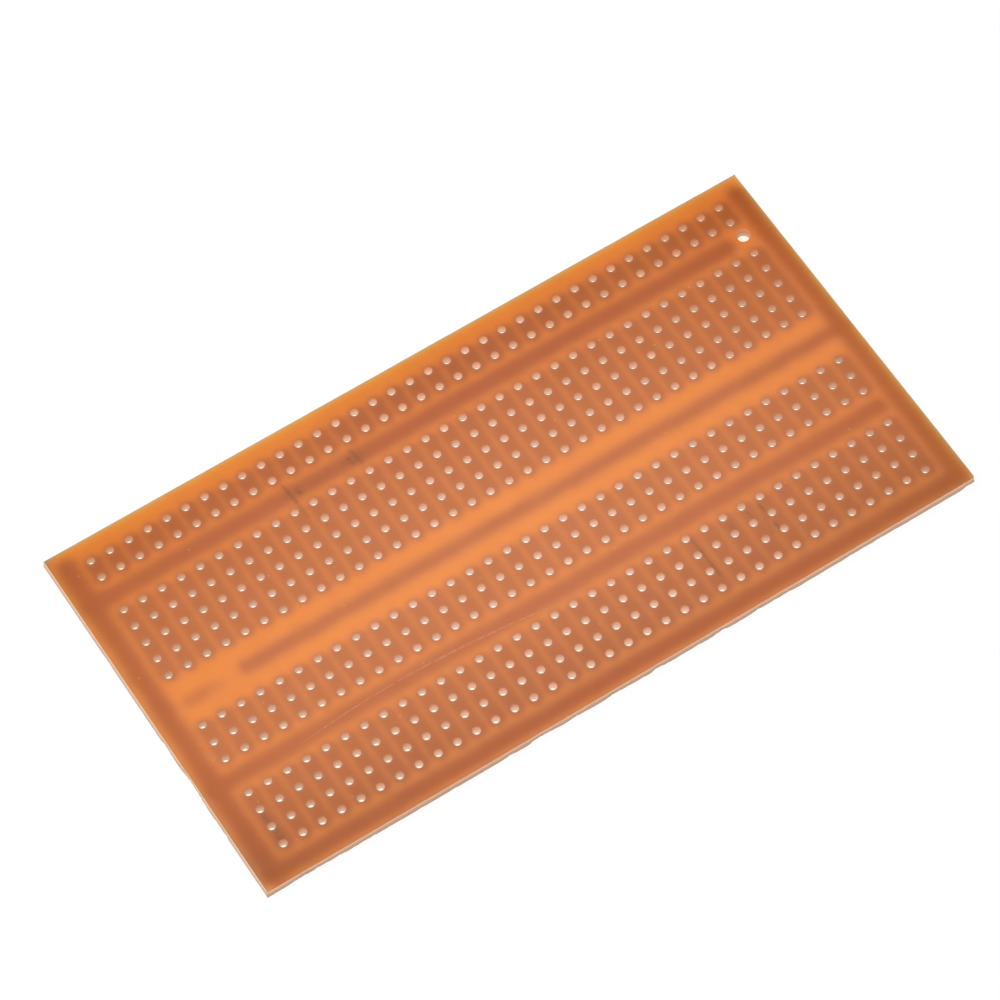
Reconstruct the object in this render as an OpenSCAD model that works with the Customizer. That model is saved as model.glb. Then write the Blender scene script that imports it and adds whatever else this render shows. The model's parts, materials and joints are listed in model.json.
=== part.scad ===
// Prototype board: a sheet of orange paper laminate, punched with a lattice of lead holes,
// lying component side up on its copper side. The foil under it is etched into strips that
// join the holes of a column, and into one bus rail with three fingers between the blocks.
// Units are millimetres. X runs along the rows, Y from the last row to the first, Z up.
// The origin is under the middle of the board, at the face of the copper.

/* [Hole lattice] */
// Distance between neighbouring hole centres
pitch = 2.54; // [2.3:0.01:3]
// Number of hole columns along the board
column_count = 35; // [8:1:45]
// Diameter of each punched lead hole
hole_d = 1.0; // [0.7:0.05:1.2]

/* [Blocks of rows] */
// Rows in the top block, next to the top edge
top_row_count = 2; // [2:1:6]
// Rows in the upper block
upper_row_count = 5; // [2:1:8]
// Rows in the lower block
lower_row_count = 3; // [2:1:8]
// Rows in the bottom block, next to the bottom rail
bottom_row_count = 4; // [2:1:8]
// Rows left out between the top and upper blocks
top_skip_count = 1; // [1:1:3]
// Rows left out between the upper and lower blocks
middle_skip_count = 2; // [1:1:4]
// Rows left out between the lower and bottom blocks
bottom_skip_count = 1; // [1:1:3]

/* [Laminate] */
// Thickness of the laminate without its foil
board_t = 1.2; // [0.8:0.1:2.4]
// Top edge of the board to the first row of holes
top_margin = 2.75; // [2:0.05:6]
// Bare laminate between the left rail and the left edge
left_border = 0.8; // [0.3:0.05:4]
// Bare laminate between the right rail and the right edge
right_border = 0.44; // [0.3:0.02:4]
// Bare laminate between the bottom rail and the bottom edge
bottom_border = 0.7; // [0.3:0.05:4]
// Depth of the clean, upright cut under the upper rim
clean_cut_depth = 0.5; // [0.3:0.05:0.65]
// How far the broken lower edge stands out past the upper rim
edge_flare = 0.2; // [0.05:0.05:0.35]
// Height of the upright foot of the broken edge
edge_foot = 0.1; // [0.05:0.05:0.15]
// Radius of the one corner that is worn round, at the lower edge
worn_corner_r = 1.0; // [0.5:0.1:2]

/* [Foil] */
// Thickness of the copper foil
foil_t = 0.035; // [0.018:0.001:0.07]
// How far the etched foil lies to the right of the punched holes
foil_shift_x = 0.25; // [-0.2:0.01:0.3]
// How far the etched foil lies towards the top edge from the punched holes
foil_shift_y = 0.12; // [-0.2:0.01:0.3]
// Width of the strip along each column of holes
strip_w = 1.78; // [1.6:0.02:2]

/* [Bus rail] */
// Width of the rail along the left edge
left_rail_w = 2.0; // [1.4:0.05:2.4]
// Width of the rail along the right edge
right_rail_w = 1.7; // [1.4:0.05:2.4]
// Width of the rail along the bottom edge
bottom_rail_w = 1.9; // [1.4:0.05:2.2]
// Width of the two narrow fingers
finger_w = 1.85; // [1.4:0.05:2.1]
// Width of the finger in the wide middle gap
middle_finger_w = 2.05; // [1.4:0.05:2.6]
// First column of strips to the middle of the left rail
left_rail_step = 2.95; // [2.6:0.05:5]
// Last column of strips to the middle of the right rail
right_rail_step = 2.6; // [2.5:0.05:5]
// Top ends of both side rails to the top edge of the board
rail_end_gap = 0.45; // [0.3:0.05:2]
// Gap from the end of the last finger to the right rail
last_finger_gap = 0.95; // [0.5:0.05:4]
// Bare ground from the left rail to the round end of the middle finger
middle_finger_inset = 8.9; // [8:0.1:12]

/* [Index marks] */
// Number of copper bars in the bare ground beside the middle finger
mark_count = 3; // [1:1:4]
// Height of the bars
mark_h = 1.8; // [0.8:0.1:2.6]
// Width of the first bar
mark_w = 1.7; // [0.8:0.05:2]
// How much narrower each bar is than the one before
mark_narrowing = 0.4; // [0:0.05:0.5]
// Gap between the bars, and twice as much before the first
mark_gap = 0.6; // [0.2:0.05:0.8]

/* [Corner hole] */
// Diameter of the peg hole past the end of the first finger
peg_hole_d = 1.53; // [1.2:0.01:2]
// How far its mouth flares outwards, where the punch has crushed the laminate
peg_flare = 0.1; // [0.05:0.01:0.25]
// Depth of that flare
peg_flare_depth = 0.12; // [0.05:0.01:0.3]
// Bare ring between the peg hole and the first finger
peg_clearance = 0.94; // [0.4:0.02:3]

/* [Hidden] */

// Facets of every round edge
$fn = 32;
// How far a cut runs past the face that it opens
cut = 1;

// First row of each block, counted from the top edge
top_first = 0;
upper_first = top_row_count + top_skip_count;
lower_first = upper_first + upper_row_count + middle_skip_count;
bottom_first = lower_first + lower_row_count + bottom_skip_count;
last_row = bottom_first + bottom_row_count - 1;

// Rows, some of them between two hole rows, that the fingers and the bottom rail run along
first_finger_row = top_row_count + (top_skip_count - 1) / 2;
middle_finger_row = upper_first + upper_row_count + (middle_skip_count - 1) / 2;
last_finger_row = lower_first + lower_row_count + (bottom_skip_count - 1) / 2;
bottom_rail_row = last_row + 1;

// Edges of the board to the outer holes
left_margin = left_border + left_rail_w / 2 + left_rail_step - foil_shift_x;
right_margin = right_border + right_rail_w / 2 + right_rail_step + foil_shift_x;
bottom_margin = bottom_border + bottom_rail_w / 2 + pitch - foil_shift_y;

// Upper rim of the board, which comes to 95 by 50, inside its broken lower edge
board_l = left_margin + (column_count - 1) * pitch + right_margin;
board_w = top_margin + last_row * pitch + bottom_margin;
top_y = board_w / 2;

// Places in the punched lattice, and the same places in the etched foil
function hole_x(column) = left_margin - board_l / 2 + column * pitch;
function hole_y(row) = top_y - top_margin - row * pitch;
function foil_x(column) = hole_x(column) + foil_shift_x;
function foil_y(row) = hole_y(row) + foil_shift_y;

// Middle lines of the rails, and the places where the fingers end
left_rail_x = foil_x(0) - left_rail_step;
right_rail_x = foil_x(column_count - 1) + right_rail_step;
bottom_rail_y = foil_y(bottom_rail_row);
peg_x = foil_x(column_count - 1);
peg_y = foil_y(first_finger_row);
first_finger_tip = peg_x - peg_hole_d / 2 - peg_clearance;
middle_finger_tip = left_rail_x + left_rail_w / 2 + middle_finger_inset;
last_finger_tip = right_rail_x - right_rail_w / 2 - last_finger_gap;

// Left edge of an index mark: the gaps and the wider bars before it
function mark_width(i) = mark_w - i * mark_narrowing;
function mark_x(i) = i == 0
    ? left_rail_x + left_rail_w / 2 + 2 * mark_gap
    : mark_x(i - 1) + mark_width(i - 1) + mark_gap;

// A straight foil track with round ends whose middles are the points a and b
module track(a, b, w) {
    run = b - a;
    translate(a) rotate(atan2(run[1], run[0])) {
        translate([0, -w / 2]) square([norm(run), w]);
        circle(d = w);
        translate([norm(run), 0]) circle(d = w);
    }
}

// The lead holes of one column, from one row to another
module column_holes(column, first, rows) {
    for (row = [first : first + rows - 1])
        translate([hole_x(column), hole_y(row)]) circle(d = hole_d);
}

// All the lead holes of one block
module block_holes(first, rows) {
    for (column = [0 : column_count - 1])
        column_holes(column, first, rows);
}

// The outline of the board at its lower edge, with its worn corner at the lower right
module lower_outline() {
    half_l = board_l / 2 + edge_flare;
    half_w = board_w / 2 + edge_flare;
    difference() {
        translate([-half_l, -half_w]) square([2 * half_l, 2 * half_w]);
        translate([half_l, -half_w]) difference() {
            translate([-worn_corner_r, -cut]) square([worn_corner_r + cut, worn_corner_r + cut]);
            translate([-worn_corner_r, worn_corner_r]) circle(r = worn_corner_r);
        }
    }
}

// What the shears leave open along a side of the sheet that lies this far from the middle:
// above its foot the edge is broken back to the rim, and at the rim it is cut clean
module sheared_off(reach, run) {
    translate([reach, 0, 0]) rotate([90, 0, 0]) linear_extrude(run, center = true)
        polygon([[edge_flare, edge_foot], [edge_flare + cut, edge_foot], [edge_flare + cut, board_t + cut],
                 [0, board_t + cut], [0, board_t - clean_cut_depth]]);
}

// The laminate sheet with its sheared sides, every lead hole, the peg hole and its flared mouth
module laminate() {
    color("peru") translate([0, 0, foil_t]) difference() {
        linear_extrude(board_t) difference() {
            lower_outline();
            block_holes(top_first, top_row_count);
            block_holes(upper_first, upper_row_count);
            block_holes(lower_first, lower_row_count);
            block_holes(bottom_first, bottom_row_count);
            translate([peg_x, peg_y]) circle(d = peg_hole_d);
        }
        // The flare reaches its full width at the face, and the cone runs on as far above it
        translate([peg_x, peg_y, board_t - peg_flare_depth])
            cylinder(h = 2 * peg_flare_depth, d1 = peg_hole_d, d2 = peg_hole_d + 4 * peg_flare);
        for (turn = [0, 180]) {
            rotate(turn) sheared_off(board_l / 2, board_w + 2 * cut);
            rotate(turn + 90) sheared_off(board_w / 2, board_l + 2 * cut);
        }
    }
}

// The rail round three sides of the board, with the three fingers that reach in from it
module bus_rail() {
    top_end = top_y - rail_end_gap;
    color("chocolate") linear_extrude(foil_t) {
        track([left_rail_x, bottom_rail_y], [left_rail_x, top_end - left_rail_w / 2], left_rail_w);
        track([right_rail_x, bottom_rail_y], [right_rail_x, top_end - right_rail_w / 2], right_rail_w);
        track([left_rail_x, bottom_rail_y], [right_rail_x, bottom_rail_y], bottom_rail_w);
        track([left_rail_x, foil_y(first_finger_row)],
              [first_finger_tip - finger_w / 2, foil_y(first_finger_row)], finger_w);
        track([middle_finger_tip + middle_finger_w / 2, foil_y(middle_finger_row)],
              [right_rail_x, foil_y(middle_finger_row)], middle_finger_w);
        track([left_rail_x, foil_y(last_finger_row)],
              [last_finger_tip - finger_w / 2, foil_y(last_finger_row)], finger_w);
    }
}

// One strip to a column of a block, holed with the laminate above it
module strips(first, rows) {
    linear_extrude(foil_t)
        for (column = [0 : column_count - 1])
            difference() {
                track([foil_x(column), foil_y(first)], [foil_x(column), foil_y(first + rows - 1)], strip_w);
                column_holes(column, first, rows);
            }
}

// Strips of the top block
module top_strips() {
    color("sienna") strips(top_first, top_row_count);
}

// Strips of the upper block
module upper_strips() {
    color("sienna") strips(upper_first, upper_row_count);
}

// Strips of the lower block
module lower_strips() {
    color("sienna") strips(lower_first, lower_row_count);
}

// Strips of the bottom block
module bottom_strips() {
    color("sienna") strips(bottom_first, bottom_row_count);
}

// Plain bars, each narrower than the last, in the bare ground left of the middle finger
module index_marks() {
    color("sienna") linear_extrude(foil_t)
        for (i = [0 : mark_count - 1])
            translate([mark_x(i), foil_y(middle_finger_row) - mark_h / 2]) square([mark_width(i), mark_h]);
}

laminate();
bus_rail();
top_strips();
upper_strips();
lower_strips();
bottom_strips();
index_marks();
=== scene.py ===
"""The look of a single-sided prototype board: punched paper laminate over etched copper foil.

Lengths are in metres, as in the frame. They are in millimetres inside the materials, and where a
name ends in _mm.
"""
import json

import bpy
import numpy as np
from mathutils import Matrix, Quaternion, Vector


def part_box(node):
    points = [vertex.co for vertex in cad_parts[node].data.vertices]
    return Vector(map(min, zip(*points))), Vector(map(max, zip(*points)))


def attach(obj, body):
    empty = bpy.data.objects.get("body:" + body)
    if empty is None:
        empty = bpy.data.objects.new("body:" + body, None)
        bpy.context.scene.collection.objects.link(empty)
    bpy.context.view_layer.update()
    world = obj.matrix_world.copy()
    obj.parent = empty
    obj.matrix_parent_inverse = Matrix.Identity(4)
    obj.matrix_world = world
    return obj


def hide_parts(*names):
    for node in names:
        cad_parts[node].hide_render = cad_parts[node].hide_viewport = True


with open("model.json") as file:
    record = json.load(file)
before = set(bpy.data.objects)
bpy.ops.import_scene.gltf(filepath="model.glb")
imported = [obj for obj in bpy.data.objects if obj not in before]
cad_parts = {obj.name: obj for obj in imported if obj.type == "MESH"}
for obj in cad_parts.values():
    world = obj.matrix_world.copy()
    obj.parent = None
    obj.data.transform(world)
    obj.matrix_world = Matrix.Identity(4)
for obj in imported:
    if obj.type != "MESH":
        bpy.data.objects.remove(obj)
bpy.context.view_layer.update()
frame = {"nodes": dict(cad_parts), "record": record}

# The view. The board is seen from high above its lower left corner, so that its long side
# climbs from the left of the picture to the right, and only two of its cut edges show.
MM = 0.001
eye = Vector((-133.76, -257.21, 511.94)) * MM
looked_at = Vector((0.47, 2.86, 1.2)) * MM
lens_mm = 183.97
sensor_mm = 36
tilt = np.radians(-5.6)

camera = bpy.data.objects.new("camera", bpy.data.cameras.new("camera"))
camera.data.lens = lens_mm
camera.data.sensor_width = sensor_mm
camera.location = eye
camera.rotation_mode = "QUATERNION"
camera.rotation_quaternion = (looked_at - eye).to_track_quat("-Z", "Y") @ Quaternion((0, 0, 1), tilt)
bpy.context.scene.collection.objects.link(camera)
bpy.context.scene.camera = camera

# The sheet: orange paper laminate, sheared to size and punched right through. The punch leaves
# a crushed mouth at each hole and a bore that narrows a little, and the shears leave a crisp
# upper rim over a ragged, broken lower edge.
CELL_STEPS = 4
RING = 4 * CELL_STEPS
CORNER_STEPS = 3
# So that a face along the rim has as many sides as one at a corner
RIM_STEPS = 2 * CORNER_STEPS - 1
edge_flare = 0.2 * MM
rim_width = 0.4 * MM
mouth_radius = 0.512 * MM
mouth_depth = 0.12 * MM
exit_radius = 0.385 * MM
peg_flare = 0.1 * MM
chip_side = np.array([0.43, 0.90])
chip_reach = 0.2 * MM
chip_depth = 0.06 * MM
worn_radius = 0.45 * MM
least_inset_mm, most_inset_mm = 0.001, 0.4
crease_angle = np.radians(32)
FACE, WALL, EDGE, UNDERSIDE = range(4)

mounts = {mount["name"]: mount for mount in frame["record"]["mounts"]}
first_hole = np.array(mounts["first_lead_hole"]["pos_m"][:2])
last_hole = np.array(mounts["last_lead_hole"]["pos_m"][:2])
peg_hole = np.array(mounts["peg_hole"]["pos_m"][:2])
pitch = mounts["lead_hole_lattice"]["dims"]["spacing_x_mm"] * MM
lead_radius = mounts["lead_hole_lattice"]["dims"]["hole_r_mm"] * MM
peg_radius = mounts["peg_hole"]["dims"]["r_mm"] * MM
sheet_low, sheet_high = (np.array(corner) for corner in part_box("laminate"))
# Half the length and half the width of the upper rim
half_rim_mm = (sheet_high[:2] - edge_flare) / MM
column_count = int(round((last_hole[0] - first_hole[0]) / pitch)) + 1
row_count = int(round((first_hole[1] - last_hole[1]) / pitch)) + 1
# Lattice rows, counted from the top edge, where each block of holes begins and ends
blocks = {"top_strips": (0, 1), "upper_strips": (3, 7), "lower_strips": (10, 12), "bottom_strips": (14, 17)}


def grid_lines(low, high, lattice_start, cells):
    """Even steps from low to the lattice, CELL_STEPS to each cell of it, and even steps on to high."""
    step = pitch / CELL_STEPS
    inner = lattice_start + np.arange(cells * CELL_STEPS + 1) * step
    before = np.linspace(low, inner[0], max(2, int(round((inner[0] - low) / step)) + 1))[:-1]
    after = np.linspace(inner[-1], high, max(2, int(round((high - inner[-1]) / step)) + 1))[1:]
    return np.concatenate([before, inner, after]), len(before)


def strips_of_quads(loops):
    """Quads between successive closed loops of vertex numbers, shaped (loop, ..., point)."""
    upper, lower = loops[:-1], loops[1:]
    quads = np.stack([upper, np.roll(upper, -1, -1), np.roll(lower, -1, -1), lower], -1)
    return quads.reshape(-1, 4)


def smooth_noise(rng, levels, count, width):
    """Random heights round a closed loop, blurred over width points, with a spread of one."""
    raw = np.fft.rfft(rng.standard_normal((levels, count)), axis=1)
    raw *= np.exp(-0.5 * (np.arange(raw.shape[1]) * width * 2 * np.pi / count) ** 2)
    raw[:, 0] = 0
    heights = np.fft.irfft(raw, count, axis=1)
    return heights / heights.std(axis=1, keepdims=True)


def sheet_grid():
    """The flat parts of both faces: a grid of points, the quads left of it, and the cells' outlines."""
    corner = first_hole + (-pitch / 2, pitch / 2 - row_count * pitch)
    inset = edge_flare + rim_width
    xs, left = grid_lines(sheet_low[0] + inset, sheet_high[0] - inset, corner[0], column_count)
    ys, below = grid_lines(sheet_low[1] + inset, sheet_high[1] - inset, corner[1], row_count)
    numbers = np.arange(len(xs) * len(ys)).reshape(len(xs), len(ys))
    whole = np.ones((len(xs) - 1, len(ys) - 1), bool)
    cells = [(column, row) for first, last in blocks.values()
             for row in range(first, last + 1) for column in range(column_count)]
    peg_cell = (int(round((peg_hole[0] - first_hole[0]) / pitch)),
                int(round((first_hole[1] - peg_hole[1]) / pitch)))
    cells = np.array(cells + [peg_cell])
    low_x = left + cells[:, 0] * CELL_STEPS
    low_y = below + (row_count - 1 - cells[:, 1]) * CELL_STEPS
    for i in range(CELL_STEPS):
        for j in range(CELL_STEPS):
            whole[low_x + i, low_y + j] = False
    # Once round a cell, from the middle of its right side, anticlockwise
    side = np.arange(CELL_STEPS)
    full = np.full(CELL_STEPS, CELL_STEPS)
    round_x = np.roll(np.concatenate([full, full - side, 0 * side, side]), -CELL_STEPS // 2)
    round_y = np.roll(np.concatenate([side, full, full - side, 0 * side]), -CELL_STEPS // 2)
    outlines = numbers[low_x[:, None] + round_x, low_y[:, None] + round_y]
    quads = np.stack([numbers[:-1, :-1], numbers[1:, :-1], numbers[1:, 1:], numbers[:-1, 1:]], -1)[whole]
    points = np.stack(np.meshgrid(xs, ys, indexing="ij"), -1).reshape(-1, 2)
    border = np.concatenate([numbers[:-1, 0], numbers[-1, :-1], numbers[:0:-1, -1], numbers[0, :0:-1]])
    centres = first_hole + cells * (pitch, -pitch)
    centres[-1] = peg_hole
    return points, quads, outlines, centres, border, (len(xs) - 1, len(ys) - 1)


def hole_rings(centres):
    """Three rings a hole: the mouth, the foot of its crushed slope, and the exit. Each is a circle
    about the hole's centre, but for the peg hole's mouth, which is chipped on its far side, by the
    square of the cosine of the angle from the chip's middle."""
    top, bottom = sheet_high[2], sheet_low[2]
    turn = np.arange(RING) * 2 * np.pi / RING
    outward = np.stack([np.cos(turn), np.sin(turn)], -1)
    count = len(centres)
    radii = np.empty((3, count, RING))
    heights = np.empty((3, count, RING))
    radii[0], radii[1], radii[2] = mouth_radius, lead_radius, exit_radius
    heights[0], heights[1], heights[2] = top, top - mouth_depth, bottom
    chip = np.clip(outward @ chip_side, 0, 1) ** 2
    radii[:, -1] = peg_radius
    radii[0, -1] += peg_flare + chip_reach * chip
    heights[1, -1] = top - mouth_depth - chip_depth * chip
    places = centres[None, :, None, :] + radii[..., None] * outward
    return np.concatenate([places, heights[..., None]], -1)


def edge_loops(points, border, steps):
    """The cut edge: loops of points round the sheet from its upper rim to its lower one. A point
    is drawn in from the sheet's outline by a profile down the cut plus seeded noise."""
    low, high = sheet_low[:2], sheet_high[:2]
    across, up = steps
    ends = np.cumsum([0, across, up, across, up])
    fine = np.arange(RIM_STEPS) / RIM_STEPS
    corner_run = np.arange(CORNER_STEPS) / CORNER_STEPS
    corners = np.array([low, (high[0], low[1]), high, (low[0], high[1])])
    outline = []
    for k in range(4):
        run = points[border[ends[k]:ends[k + 1]]]
        run = np.vstack([run, points[border[ends[k + 1] % len(border)]]])
        between = run[:-1, None] + fine[None, :, None] * (run[1:] - run[:-1])[:, None]
        between = np.vstack([between.reshape(-1, 2), run[-1:]])
        flat = k % 2
        between[:, 1 - flat] = corners[k][1 - flat]
        corner = corners[(k + 1) % 4]
        after = np.array([corner[0], run[-1][1]] if flat == 0 else [run[-1][0], corner[1]])
        here = between[-1]
        outline += [between[:-1], here + corner_run[:, None] * (corner - here),
                    corner + corner_run[:, None] * (after - corner)]
    outline = np.vstack(outline)
    # The worn corner, lower right
    middle = np.array([high[0] - worn_radius, low[1] + worn_radius])
    away = outline - middle
    worn = (away[:, 0] > 0) & (away[:, 1] < 0)
    outline[worn] = middle + away[worn] / np.linalg.norm(away[worn], axis=1, keepdims=True) * worn_radius

    along = np.roll(outline, -1, 0) - np.roll(outline, 1, 0)
    inward = np.stack([-along[:, 1], along[:, 0]], -1) / np.linalg.norm(along, axis=1, keepdims=True)
    count = len(outline)
    rng = np.random.default_rng(11)
    # Down the cut, from the upper rim to the lower one: the share of the thickness, and how far
    # the edge is drawn in and how rough it is there, in millimetres
    depth = np.array([0, 0.04, 0.22, 0.42, 0.60, 0.78, 0.92, 1])
    drawn_in = np.array([0.225, 0.20, 0.19, 0.17, 0.10, 0.03, 0, 0.01])
    rough = np.array([0.006, 0.006, 0.012, 0.020, 0.030, 0.038, 0.042, 0.045])
    levels = len(depth)
    broken = 0.4 * smooth_noise(rng, levels, count, 1) + 0.6 * smooth_noise(rng, levels, count, 4)
    shared = 0.6 * smooth_noise(rng, 1, count, 4) + 0.7 * smooth_noise(rng, 1, count, 14)
    torn = 0.6 * broken + 0.8 * shared
    # Torn plies mostly break off along one line, with notches here and there
    notched = np.where(torn > 0, torn * (1 + 0.6 * torn), 0.5 * torn)
    # The right edge is cut back by nearly the whole flare, the left and top ones by about half of
    # it, and the bottom one was cut square, but a little askew
    left_side, right_side = np.clip(inward[:, 0], 0, 1), np.clip(-inward[:, 0], 0, 1)
    bottom_side = np.clip(inward[:, 1], 0, 1)
    flat_cut = 0.40 + 0.20 * left_side + 0.50 * right_side - 0.34 * bottom_side
    askew = (0.075 + 0.15 * outline[:, 0] / high[0]).clip(0.02) * bottom_side
    inset = drawn_in[:, None] * flat_cut + askew + rough[:, None] * notched
    inset = np.clip(inset, least_inset_mm, most_inset_mm) * MM
    places = outline[None] + inset[..., None] * inward
    heights = sheet_high[2] - depth * (sheet_high[2] - sheet_low[2])
    return np.concatenate([places, np.broadcast_to(heights[:, None, None], (levels, count, 1))], -1)


def rim_faces(border, rim, steps):
    """Faces from the grid's border to the cut edge: one a grid step, with RIM_STEPS fine steps on
    its outer side, and one at each corner, where the rim has 2 * CORNER_STEPS more steps."""
    runs = np.array([steps[0], steps[1], steps[0], steps[1]])
    corner = np.arange(4)
    starts = np.arange(len(border)) * RIM_STEPS + np.repeat(corner, runs) * 2 * CORNER_STEPS
    outer = rim[(starts[:, None] + np.arange(RIM_STEPS + 1)) % len(rim)]
    ends = np.cumsum(runs)
    corner_starts = ends * RIM_STEPS + corner * 2 * CORNER_STEPS
    turns = rim[(corner_starts[:, None] + np.arange(2 * CORNER_STEPS + 1)) % len(rim)]
    return np.vstack([np.column_stack([outer, np.roll(border, -1), border]),
                      np.column_stack([border[ends % len(border)], turns])])


def punched_sheet():
    """The whole sheet as one closed mesh, with a material number for each face."""
    points, quads, outlines, centres, border, steps = sheet_grid()
    rings = hole_rings(centres)
    cut = edge_loops(points, border, steps)
    flat = len(points)
    upper = np.column_stack([points, np.full(flat, sheet_high[2])])
    lower = np.column_stack([points, np.full(flat, sheet_low[2])])
    places = np.vstack([upper, lower, rings.reshape(-1, 3), cut.reshape(-1, 3)])
    ring_numbers = 2 * flat + np.arange(rings[..., 0].size).reshape(rings.shape[:3])
    cut_numbers = 2 * flat + ring_numbers.size + np.arange(cut[..., 0].size).reshape(cut.shape[:2])
    parts = [
        (quads, FACE),
        (quads[:, ::-1] + flat, UNDERSIDE),
        (strips_of_quads(np.stack([outlines, ring_numbers[0]])), FACE),
        (strips_of_quads(ring_numbers), WALL),
        (strips_of_quads(np.stack([ring_numbers[2], outlines + flat])), UNDERSIDE),
        (strips_of_quads(cut_numbers)[:, ::-1], EDGE),
        (rim_faces(border, cut_numbers[0], steps), FACE),
        (rim_faces(border + flat, cut_numbers[-1], steps)[:, ::-1], UNDERSIDE),
    ]
    used = np.zeros(len(places), bool)
    used[np.concatenate([part.ravel() for part, _ in parts])] = True
    renumbered = np.cumsum(used) - 1
    faces = sum([renumbered[part].tolist() for part, _ in parts], [])
    finishes = np.repeat([finish for _, finish in parts], [len(part) for part, _ in parts])
    mesh = bpy.data.meshes.new("laminate_sheet")
    mesh.from_pydata(places[used].tolist(), [], faces)
    mesh.polygons.foreach_set("material_index", finishes.astype(np.int32))
    mesh.polygons.foreach_set("use_smooth", np.ones(len(faces), bool))
    mesh.set_sharp_from_angle(angle=crease_angle)
    return mesh


class Wire:
    """One number in a material. Arithmetic on it, with other wires or plain numbers, adds Math nodes."""

    def __init__(self, finish, socket):
        self.finish = finish
        self.socket = socket

    def math(self, operation, *others):
        return self.finish.node("Math", {"operation": operation}, dict(enumerate((self, *others))))

    def __add__(self, other):
        return self.math("ADD", other)

    def __sub__(self, other):
        return self.math("SUBTRACT", other)

    def __rsub__(self, other):
        return self.finish.node("Math", {"operation": "SUBTRACT"}, {0: other, 1: self})

    def __mul__(self, other):
        return self.math("MULTIPLY", other)

    def __truediv__(self, other):
        return self.math("DIVIDE", other)

    def __pow__(self, other):
        return self.math("POWER", other)

    def __abs__(self):
        return self.math("ABSOLUTE")

    __radd__ = __add__
    __rmul__ = __mul__


class Finish:
    """The finish of a material or a world. node() adds any node: its type, settings and sockets."""

    def __init__(self, owner):
        owner.use_nodes = True
        self.owner = owner
        self.tree = owner.node_tree
        self.tree.nodes.clear()

    def node(self, kind, settings=None, sockets=None, output=0):
        made = self.tree.nodes.new("ShaderNode" + kind)
        for name, value in (settings or {}).items():
            setattr(made, name, value)
        for name, value in (sockets or {}).items():
            target = made.inputs[name]
            if isinstance(value, Wire):
                self.tree.links.new(value.socket, target)
            else:
                target.default_value = (*value, 1) if target.type == "RGBA" else value
        return Wire(self, made.outputs[output]) if made.outputs else None

    def laid(self, under, over, amount, how="MIX"):
        """One colour laid over another by an amount, or added to it, taken from it or multiplied in.
        Sockets 6 and 7 of a Mix node are its colours, and so is its output 2."""
        settings = {"data_type": "RGBA", "blend_type": how}
        return self.node("Mix", settings, {0: amount, 6: under, 7: over}, output=2)

    def place(self):
        """The point's place in the object, and its three coordinates in millimetres."""
        place = self.node("TexCoord", output=3)
        split = [self.node("SeparateXYZ", None, {0: place}, output=axis) for axis in range(3)]
        return (place, *(coordinate * 1000 for coordinate in split))

    def noise(self, place, scale, detail=2.0, roughness=0.5, stretch=(1, 1, 1)):
        """Noise about nought, from about -0.5 to 0.5, with scale features to the metre."""
        turned = self.node("Mapping", None, {"Vector": place, "Scale": stretch})
        sockets = {"Vector": turned, "Scale": scale, "Detail": detail, "Roughness": roughness}
        return self.node("TexNoise", None, sockets) - 0.5

    def scaled(self, colour, factor):
        """A colour made lighter or darker by a factor."""
        return self.node("VectorMath", {"operation": "SCALE"}, {0: colour, 3: factor})

    def done(self, shader, output="OutputMaterial"):
        self.node(output, None, {"Surface": shader})
        return self.owner


def tone(red, green, blue):
    """A colour given as it shows on a screen, from 0 to 255, as the linear values that nodes take."""
    shown = np.array([red, green, blue]) / 255
    return tuple(np.where(shown <= 0.04045, shown / 12.92, ((shown + 0.055) / 1.055) ** 2.4))


def outside(coordinate, low, high):
    """How far a coordinate lies outside the range from low to high."""
    return (abs(coordinate - (low + high) / 2) - (high - low) / 2).math("MAXIMUM", 0)


def length(across, up):
    """The straight distance from its two components."""
    return (across * across + up * up) ** 0.5


def cover(distance, width, blur):
    """The blurred shade of a track at a distance from its middle line: a half of
    tanh(k (width / 2 - distance)) + tanh(k (width / 2 + distance)), where k falls with the blur."""
    steep = 0.83 / blur
    near = ((width / 2 - distance) * steep).math("TANH")
    far = ((width / 2 + distance) * steep).math("TANH")
    return (near + far) * 0.5


# Shade of the foil through the sheet, in millimetres. The light that comes up through the
# laminate is stopped by the copper, whose outline it blurs on its way to the upper face.
shade_shift = (-0.09, -0.35)
strip_shade_w = 1.92
strip_shade_pull = 0.38
strip_blur = 0.47
rail_blur = 0.65
shade_hardness = 1.7


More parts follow.
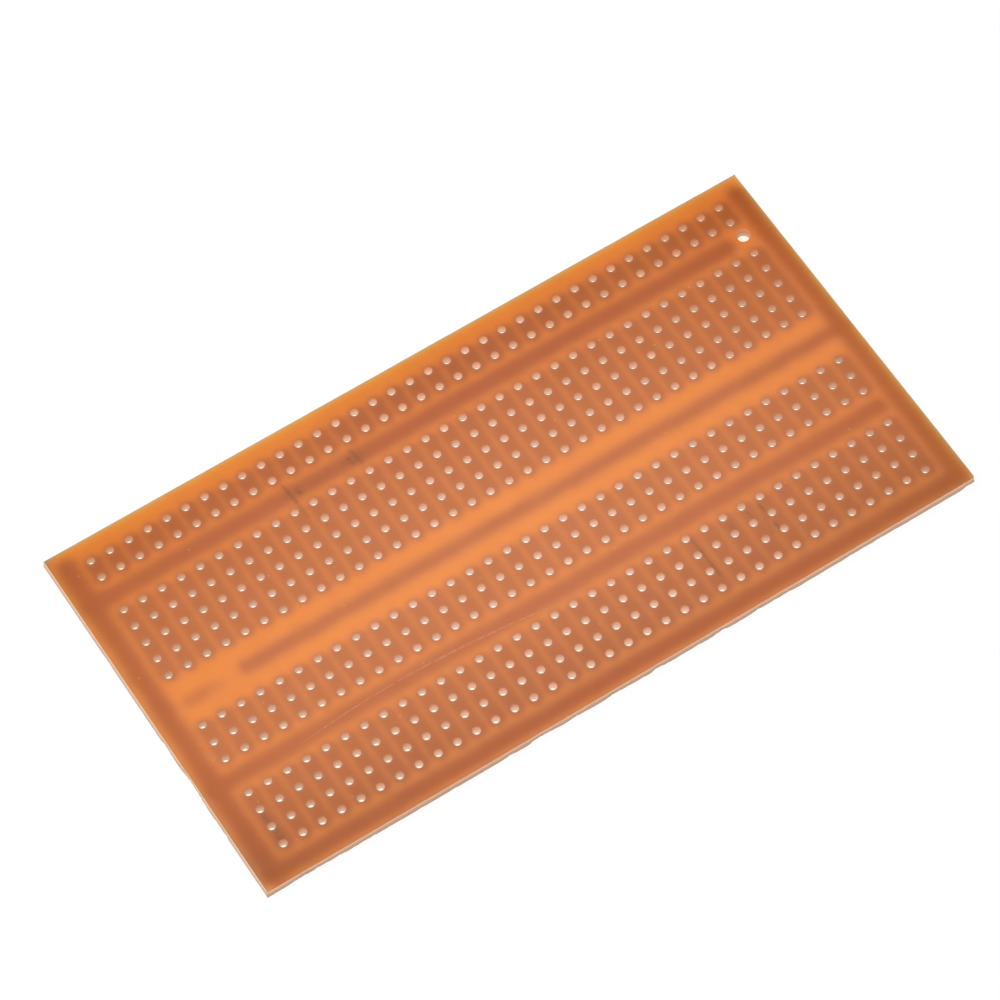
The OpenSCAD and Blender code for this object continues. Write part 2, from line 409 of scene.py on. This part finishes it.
def foil_shade(x, y):
    """How open the ground is to light, 1 over bare laminate and 0 over the middle of a wide track,
    and how far the strips and the rails lie over a place."""
    step = pitch / MM
    x = x - shade_shift[0]
    y = y - shade_shift[1]
    boxes = {name: [np.array(corner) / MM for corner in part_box(name)] for name in frame["nodes"]}
    low, high = boxes["top_strips"]
    half_strip = (high[0] - low[0] - (column_count - 1) * step) / 2
    column = (x - (low[0] + half_strip)) / step
    beside = abs(column - column.math("ROUND").math("MAXIMUM", 0).math("MINIMUM", column_count - 1)) * step
    # Past the last column there is no next strip, so that its distance grows quickly
    beyond = outside(column, 0, column_count - 1) * (8 * step)
    above = None
    for name in blocks:
        low, high = boxes[name]
        inner = half_strip + strip_shade_pull
        gap = outside(y, low[1] + inner, high[1] - inner)
        above = gap if above is None else above.math("MINIMUM", gap)
    strips = cover(length(beside, above), strip_shade_w, strip_blur)
    strips = strips + cover(length(step - beside + beyond, above), strip_shade_w, strip_blur)

    low, high = boxes["bus_rail"]
    # The middle lines of the rails, from the foil's outline, and of the fingers, from the lattice
    left, right, bottom = low[0] + 1.0, high[0] - 0.85, low[1] + 0.98
    first, middle, last = (boxes["top_strips"][1][1] - half_strip - row * step for row in (2, 8.5, 13))
    # The shades of the index marks run together into a streak that pales to the right
    mark_low, mark_high = boxes["index_marks"]
    streak = middle - 0.2
    marks = [mark_low[0] + part * (mark_high[0] - mark_low[0]) for part in (0.18, 0.42, 0.66, 0.93)]
    # Each track: from where to where in x and in y, its width, and how dark its shade is
    tracks = [
        (left, left, bottom, high[1] - 1.6, 2.18, 1),
        (right, right, bottom, high[1] - 1.75, 2.02, 1),
        (left, right, bottom, bottom, 1.92, 1),
        (left, peg_hole[0] / MM - 2.63, first, first, 1.95, 1),
        (left + 10.9, right, middle, middle, 1.42, 1),
        (left, right - 2.73, last, last, 1.95, 1),
        (marks[0], marks[1], streak, streak, 1.2, 0.25),
        (marks[0], marks[2], streak, streak, 1.2, 0.21),
        (marks[0], marks[3], streak, streak, 1.2, 0.31),
    ]
    free = 1.0
    for x0, x1, y0, y1, width, strength in tracks:
        shade = cover(length(outside(x, x0, x1), outside(y, y0, y1)), width, rail_blur)
        free = (1 - shade * strength) * free
    return (free - strips).math("MAXIMUM", 0) ** shade_hardness, strips, 1 - free


def hole_distance(x, y):
    """Distance from the nearest point of the lead-hole lattice."""
    step = pitch / MM
    column = (x - first_hole[0] / MM) / step
    row = (y - first_hole[1] / MM) / step
    return length(abs(column - column.math("ROUND")), abs(row - row.math("ROUND"))) * step


# Rubs that handling left along the strips, and two specks of soot at the ends of strips: where each
# starts and ends, its half width, and how dark it is
rubs = [
    ((-10.50, 18.2), (-10.20, 16.0), 0.15, 0.36), ((-11.28, 17.3), (-11.05, 16.4), 0.14, 0.26),
    ((-11.60, 17.0), (-10.00, 16.8), 0.60, 0.16), ((-19.50, 18.4), (-19.25, 15.6), 0.14, 0.36),
    ((-15.80, 17.1), (-14.20, 17.2), 0.60, 0.12),
    ((-18.34, 17.1), (-18.33, 16.5), 0.15, 0.26), ((-19.20, 17.0), (-18.30, 16.7), 0.55, 0.14),
    ((-19.23, 15.6), (-19.10, 13.3), 0.18, 0.20), ((15.88, -13.8), (16.02, -15.8), 0.20, 0.20),
    ((16.02, -15.7), (16.12, -19.3), 0.12, 0.36), ((24.90, -14.0), (24.25, -18.0), 0.24, 0.18),
    ((25.07, -17.3), (25.22, -18.5), 0.12, 0.36), ((24.87, -14.4), (25.00, -15.3), 0.12, 0.30),
    ((20.70, -14.6), (20.60, -16.4), 0.30, 0.20), ((23.20, -14.2), (23.30, -15.4), 0.14, 0.20),
    ((-43.05, -16.2), (-43.00, -17.8), 0.24, 0.30), ((-42.95, -18.8), (-42.90, -20.2), 0.28, 0.34),
]


def stroke(x, y, start, end, width):
    """1 along a straight stroke between two points, falling off softly over its width."""
    (x0, y0), (x1, y1) = start, end
    run = float(np.hypot(x1 - x0, y1 - y0))
    along = (x - x0) * ((x1 - x0) / run) + (y - y0) * ((y1 - y0) / run)
    across = (x - x0) * ((y1 - y0) / run) - (y - y0) * ((x1 - x0) / run)
    return ((length(outside(along, 0, run), across) / -width).math("EXPONENT") * 2).math("MINIMUM", 1)


def graded(made, colour, changes):
    """A colour changed by others over the surface: what is above nought in a change is added and
    what is below is taken away, as far as the change's amount says."""
    for amount, change in changes:
        for how, sign in (("ADD", 1), ("SUBTRACT", -1)):
            part = tuple(max(sign * value, 0) for value in change)
            if any(part):
                colour = made.laid(colour, part, amount, how)
    return colour


def fading(distance, run):
    """1 at no distance, falling to 1/e over each run."""
    return (distance.math("MAXIMUM", 0) / -run).math("EXPONENT")


def towards_edges(x, y):
    """How near a place is to the left, right, top and bottom edges, squared: 0 in the bright middle
    of the sheet and 1 at the edge."""
    left = ((0 - x).math("MAXIMUM", 0) / half_rim_mm[0]) ** 2
    right = (x.math("MAXIMUM", 0) / half_rim_mm[0]) ** 2
    top = ((y - brightest_y).math("MAXIMUM", 0) / (half_rim_mm[1] - brightest_y)) ** 2
    bottom = ((brightest_y - y).math("MAXIMUM", 0) / (half_rim_mm[1] + brightest_y)) ** 2
    return left, right, top, bottom


def depth_in(z):
    """How deep a place lies in the sheet: 0 at the upper face and 1 at the lower one."""
    return (sheet_high[2] / MM - z) / ((sheet_high[2] - sheet_low[2]) / MM)


# The upper face in linear values: bare ground, which glows with what comes up through the
# laminate, and ground over foil. Both are brightest along a line a little below the middle.
bare_ground = (0.862, 0.266, 0.060)
over_foil = (0.550, 0.167, 0.0565)
brightest_y = -4.0


def face_finish():
    """The satin upper face: resin-soaked paper, lit from below where no foil stops the light."""
    made = Finish(bpy.data.materials.new("laminate_face"))
    place, x, y, _ = made.place()
    # The etched outlines wander a little
    openness, strips, rails = foil_shade(x + made.noise(place, 380, 2) * 0.4,
                                         y + made.noise(place, 360, 2) * 0.4)
    left_end, right_end, top, bottom = towards_edges(x, y)
    from_left, from_right = x + half_rim_mm[0], half_rim_mm[0] - x
    from_bottom, from_top = y + half_rim_mm[1], half_rim_mm[1] - y
    far_side = from_right.math("MINIMUM", from_top)
    lit_rim = fading(far_side.math("MINIMUM", from_bottom), 0.45)
    centre = (1 - ((x - 8) / 22) ** 2).math("MAXIMUM", 0)

    # Less light comes through towards the ends and the edges, and over the rails
    ground = graded(made, bare_ground, [
        (left_end, (-0.052, -0.028, -0.020)),
        (right_end, (-0.090, -0.047, -0.020)),
        (top, (-0.118, -0.072, -0.042)),
        (bottom, (-0.198, -0.055, -0.015)),
        (top * left_end, (0, 0.004, 0.010)),
        (top * right_end, (0, 0, 0.006)),
        (lit_rim, (0.080, 0.130, 0.020)),
        (fading(from_bottom, 0.45), (-0.010, -0.060, 0))])
    shade = graded(made, over_foil, [
        (left_end, (-0.040, -0.023, -0.017)),
        (right_end, (-0.086, -0.043, -0.028)),
        (top, (-0.142, -0.070, -0.040)),
        (bottom, (-0.166, -0.062, -0.025)),
        (rails, (-0.020, -0.018, -0.002)),
        (rails * bottom, (0.022, 0.002, -0.007)),
        (rails * left_end ** 4, (-0.050, -0.022, -0.018)),
        (rails * right_end ** 4, (-0.028, -0.018, -0.015)),
        (rails * top * left_end, (0.070, 0.040, 0.023)),
        (rails * top * right_end, (0.035, 0.018, 0.009)),
        (rails * bottom * left_end, (0.005, 0.027, 0.020)),
        (rails * bottom * right_end, (0.020, 0.015, 0.003)),
        (bottom * right_end, (0.044, 0.030, 0.015)),
        (lit_rim, (0.090, 0.045, 0.003))])
    colour = made.laid(shade, ground, openness)
    # The last changes follow the rims, where the sheet lets light out: olive, with a paler line
    # along the very edge of the far sides
    colour = graded(made, colour, [
        (openness * (1 - openness), (0, 0.008, 0.020)),
        (top * centre, (-0.036, -0.017, -0.005)),
        (fading(far_side, 0.20), (-0.215, 0.012, 0)),
        (fading(far_side, 0.14), (0, 0, 0.090)),
        (fading(from_right, 0.6), (0.060, 0.070, 0)),
        (fading(from_top, 1.2), (0.018, 0.018, 0.002)),
        (fading(from_left, 0.2), (-0.160, 0, 0)),
        (fading(from_left, 0.13), (0, 0, 0.035)),
        (fading(from_left, 0.7), (0.012, 0.014, -0.004)),
        (fading(from_bottom, 0.15), (-0.120, -0.050, 0)),
        (fading(from_bottom, 0.8), (0.062, 0.006, 0.002)),
        (fading(from_bottom, 0.8) * right_end ** 2, (-0.100, -0.010, 0.004)),
        (fading(from_right, 0.9) * bottom ** 3, (0.180, 0.055, 0.050)),
        (fading(from_right, 0.9) * top, (0.040, 0.008, 0.022)),
        (fading(from_left, 0.6) * top, (0.030, 0.030, 0)),
        (fading(from_left, 1.0) * fading(from_top, 1.3), (-0.240, -0.120, 0.024)),
        (fading(from_left, 1.0) * bottom, (-0.130, -0.040, 0.010)),
        (fading(from_left, 1.5) * fading(from_bottom, 1.5), (0.240, 0.090, 0.012))])
    # Painted shade: a darker ring round each punched mouth, where the crushed lip falls away, set off
    # towards the near side
    painted_mouth_shade = ((hole_distance(x + 0.035, y + 0.085) - 0.56) / -0.14).math("EXPONENT").math("MINIMUM", 1) * strips
    colour = made.laid(colour, tone(164, 128, 104), painted_mouth_shade * 0.3)

    # Rubs and scratches of handling
    rubbed = made.noise(place, 1100, 4, 0.7) * 2.6 + 0.9
    for start, end, width, amount in rubs:
        colour = made.laid(colour, tone(92, 66, 44), (stroke(x, y, start, end, width) * rubbed * amount)
                           .math("MINIMUM", 0.7).math("MAXIMUM", 0))
    # One long scratch along a flat arc, and a short one beside it
    arc = y + 10.68 + (x + 21.5) ** 2 * 0.0042
    grazed = (made.noise(place, 1700, 4, 0.8) * 5 + 0.5).math("MAXIMUM", 0.05).math("MINIMUM", 1)
    for offset, width, from_x, to_x, amount in ((0, 0.028, -33, -4, 0.62), (0.16, 0.025, -17, -9, 0.45)):
        scratch = (abs(arc + offset) / -width).math("EXPONENT") * fading(outside(x, from_x, to_x), 1.5)
        colour = made.laid(colour, tone(240, 190, 152), scratch * grazed * amount)
    # Dust: about one fine speck to each cell of a loose pattern, with so many cells to the metre
    cells = 75
    dust = made.node("TexVoronoi", {"voronoi_dimensions": "2D"}, {"Vector": place, "Scale": cells})
    colour = made.laid(colour, tone(240, 196, 158), fading(dust * (1000 / cells), 0.045) * 0.7)

    # Mottling: cloudy lighter and darker, redder and greener patches, and the paper's grain
    cloud = made.noise(place, 420, 3) * 0.12 + made.noise(place, 2600, 2, 0.6, (1, 2.4, 1)) * 0.08 + 1
    tint = made.node("CombineXYZ", None, {
        0: 1, 1: made.noise(place, 520, 3, 0.6) * 0.13 + 1, 2: made.noise(place, 300, 3, 0.6) * 0.38 + 1})
    colour = made.laid(made.scaled(colour, cloud), tint, 1.0, "MULTIPLY")
    height = made.noise(place, 3200, 3, 0.6, (1, 1.8, 1))
    normal = made.node("Bump", None, {"Strength": 0.25, "Distance": 0.00002, "Height": height})
    return made.done(made.node("BsdfPrincipled", None, {
        "Base Color": colour, "Roughness": 0.42 + made.noise(place, 900, 2) * 0.12,
        "Normal": normal, "Specular IOR Level": 0.35}))


def wall_finish():
    """The punched walls: torn paper, paler than the face, with painted light: a glow for what comes through
    the sheet, and a colour that pales down the wall as more light reaches it from below.
    """
    made = Finish(bpy.data.materials.new("punched_wall"))
    place, x, y, z = made.place()
    depth = depth_in(z)
    grain = made.noise(place, 5200, 2) * 0.2
    down = (depth * 1.1 + grain).math("MINIMUM", 1)
    # Each hole differs a little, those towards the ends get less light, and redder, and the walls are darker
    # in a band just above the exit. All of this is painted light on the walls.
    left_end, right_end, top, _ = towards_edges(x, y)
    exit_band = ((depth - 0.88) / 0.06).math("MAXIMUM", 0).math("MINIMUM", 1)
    light = (made.noise(place, 330, 1) * 0.22 + 1) * (1 - exit_band * 0.16)
    losses = ((0.17, 0.19, 0), (0.25, 0.33, 0.06), (0.36, 0.45, 0.15))
    level = made.node("CombineXYZ", None, {
        channel: (1 - left_end * left - right_end * right - top * upper) * light
        for channel, (left, right, upper) in enumerate(losses)})
    # The colour pales and the glow grows down the wall: painted light, standing in for the light that comes
    # up from below and through the sheet.
    shown = made.laid(tone(192, 116, 79), tone(217, 174, 155), down)
    glow = made.laid(tone(125, 98, 70), tone(155, 157, 146), down)
    return made.done(made.node("BsdfPrincipled", None, {
        "Base Color": made.laid(shown, level, 1.0, "MULTIPLY"), "Roughness": 0.7,
        "Emission Color": made.laid(glow, level, 1.0, "MULTIPLY"), "Emission Strength": 1.0}))


def edge_finish():
    """The sheared edge: dry torn paper plies, greyer down the broken part, and pale at the rim, partly from
    paler paper and partly from a painted highlight along the rim.
    """
    made = Finish(bpy.data.materials.new("cut_edge"))
    place, _, _, z = made.place()
    depth = depth_in(z)
    plies = made.noise(place, 900, 3, 0.6, (1, 1, 6)) * 0.5
    lower = (depth * 1.8 + plies - 0.1).math("MINIMUM", 1)
    colour = made.laid(tone(242, 199, 164), tone(190, 161, 141), lower)
    height = made.noise(place, 4200, 3, 0.6, (1, 1, 3))
    normal = made.node("Bump", None, {"Strength": 0.4, "Distance": 0.00004, "Height": height})
    # The emission is painted light: a faint glow on the cut, which is no lamp.
    return made.done(made.node("BsdfPrincipled", None, {
        "Base Color": colour, "Roughness": 0.75, "Normal": normal, "Specular IOR Level": 0.3,
        "Emission Color": tone(98, 68, 50), "Emission Strength": 1.0}))


def underside_finish():
    """The lower face between the foil: the same laminate, dull where the copper was etched away."""
    made = Finish(bpy.data.materials.new("laminate_underside"))
    place = made.place()[0]
    colour = made.laid(tone(192, 122, 70), tone(214, 146, 88), made.noise(place, 700, 4) + 0.5)
    height = made.noise(place, 3600, 3, 0.6, (1, 1.8, 1))
    normal = made.node("Bump", None, {"Strength": 0.3, "Distance": 0.00002, "Height": height})
    return made.done(made.node("BsdfPrincipled", None, {
        "Base Color": colour, "Roughness": 0.6 + made.noise(place, 1500, 2) * 0.1, "Normal": normal}))


sheet = bpy.data.objects.new("laminate_sheet", punched_sheet())
bpy.context.scene.collection.objects.link(sheet)
for finish in (face_finish(), wall_finish(), edge_finish(), underside_finish()):
    sheet.data.materials.append(finish)
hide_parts("laminate")
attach(sheet, "root")

# The foil: rolled copper bonded to the underside and etched into the bus rail, the column strips
# and the index marks. Bare copper dulls in the air, in soft patches, under a thin flux lacquer.


def foil_finish():
    """Dull copper: pink metal with browner, rougher patches and fine rolling lines."""
    made = Finish(bpy.data.materials.new("etched_copper"))
    place = made.place()[0]
    tarnish = (made.noise(place, 260, 4, 0.6) * 2.2 + 0.45).math("MAXIMUM", 0).math("MINIMUM", 1)
    colour = made.laid(tone(222, 152, 120), tone(176, 104, 72), tarnish)
    rolling = made.noise(place, 3000, 2, 0.5, (0.06, 1, 1))
    normal = made.node("Bump", None, {"Strength": 0.2, "Distance": 0.00001, "Height": rolling})
    return made.done(made.node("BsdfPrincipled", None, {
        "Base Color": colour, "Metallic": 1 - tarnish * 0.25, "Roughness": 0.3 + tarnish * 0.25,
        "Normal": normal}))


copper = foil_finish()
for name, node in frame["nodes"].items():
    if name != "laminate":
        for slot in node.material_slots:
            slot.material = copper

# The studio: a white table under an even white sky, with one soft lamp high on the left.
# Seen directly or in a reflection both are plain white, and the table keeps the board's shadow.
table_drop = 0.05 * MM
table_reach = 3.0
sky_strength = 0.7
plain_white = 0.92
under_board = (1.12, 0.96, 0.80)
lamp_place = Vector((-0.9, 0.5, 1.4))
lamp_size = 1.2
lamp_watts = 14


def seen_directly(made):
    """1 for rays from the camera, a mirror or glass, and 0 for the light that falls on things."""
    kinds = "Is Camera Ray", "Is Glossy Ray", "Is Transmission Ray"
    camera_ray, mirrored, through_glass = (made.node("LightPath", output=kind) for kind in kinds)
    return camera_ray.math("MAXIMUM", mirrored).math("MAXIMUM", through_glass)


def table_finish():
    """White card: mostly plain white to the eye, with the shadow showing in the rest. Under the
    board, where it is seen only through the holes, the light that comes through the sheet warms it."""
    made = Finish(bpy.data.materials.new("white_table"))
    _, x, y, _ = made.place()
    inside = (sheet_high[:2] - 2 * edge_flare) / MM
    clear = outside(x, -inside[0], inside[0]).math("MAXIMUM", outside(y, -inside[1], inside[1]))
    card = made.node("BsdfDiffuse", None, {"Color": (0.8, 0.8, 0.8)})
    seen = made.laid(under_board, (1, 1, 1), clear.math("GREATER_THAN", 0))
    white = made.node("Emission", None, {"Color": seen, "Strength": 1.02})
    amount = seen_directly(made) * plain_white
    return made.done(made.node("MixShader", None, {0: amount, 1: card, 2: white}))


mesh = bpy.data.meshes.new("table")
corners = [(-1, -1), (1, -1), (1, 1), (-1, 1)]
mesh.from_pydata([(a * table_reach, b * table_reach, -table_drop) for a, b in corners], [], [(0, 1, 2, 3)])
mesh.materials.append(table_finish())
table = bpy.data.objects.new("table", mesh)
bpy.context.scene.collection.objects.link(table)

sky = Finish(bpy.data.worlds.new("sky"))
strength = seen_directly(sky) * (1 - sky_strength) + sky_strength
light = sky.node("Background", None, {"Color": (1, 1, 1), "Strength": strength})
bpy.context.scene.world = sky.done(light, "OutputWorld")

lamp = bpy.data.objects.new("lamp", bpy.data.lights.new("lamp", "AREA"))
lamp.data.size = lamp_size
lamp.data.energy = lamp_watts
lamp.location = lamp_place
lamp.rotation_mode = "QUATERNION"
lamp.rotation_quaternion = (-lamp_place).to_track_quat("-Z", "Y")
bpy.context.scene.collection.objects.link(lamp)
bpy.context.scene.view_settings.view_transform = "Standard"
